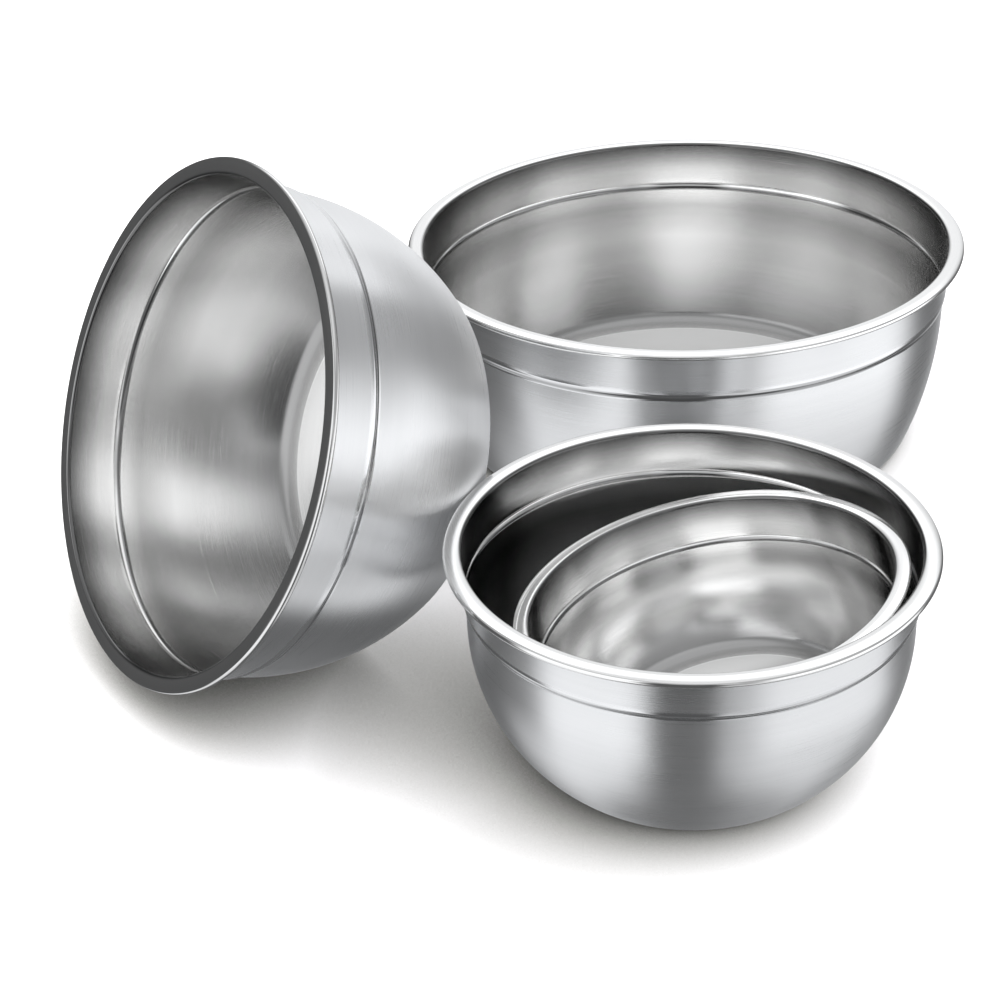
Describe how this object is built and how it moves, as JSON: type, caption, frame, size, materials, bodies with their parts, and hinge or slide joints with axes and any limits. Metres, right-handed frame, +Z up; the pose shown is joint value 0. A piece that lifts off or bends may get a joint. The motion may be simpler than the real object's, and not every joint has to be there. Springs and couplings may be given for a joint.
{
  "type": "nesting mixing bowl set",
  "caption": "Round nesting steel bowls with rolled lips, stepped upright bands and flat pressed bases, standing, tipped and nested, for mixing, washing or holding things.",
  "frame": {"origin": "centre of the front bowl's foot circle, on the floor", "axes": "+Z up out of the front bowl's mouth, +X to the right of the group, +Y from the front bowl back to the large bowl"},
  "size_m": [0.502, 0.5957, 0.25],
  "materials": {
    "steel": "satin turned walls with a polished lip and ledge"
  },
  "bodies": {
    "front_bowl": {"front_bowl": "steel"},
    "nested_bowl": {"nested_bowl": "steel"},
    "large_bowl": {"large_bowl": "steel"},
    "tipped_bowl": {"tipped_bowl": "steel"}
  },
  "joints": [
    {"name": "nested_lift", "type": "slide", "parent": "front_bowl", "child": "nested_bowl", "axis": [0, 0, 1], "range_m": [0, 0.14]},
    {"name": "large_lift", "type": "slide", "parent": "front_bowl", "child": "large_bowl", "axis": [0, 0, 1], "range_m": [0, 0.26]},
    {"name": "tipped_lift", "type": "slide", "parent": "front_bowl", "child": "tipped_bowl", "axis": [0, 0, 1], "range_m": [0, 0.16]}
  ]
}
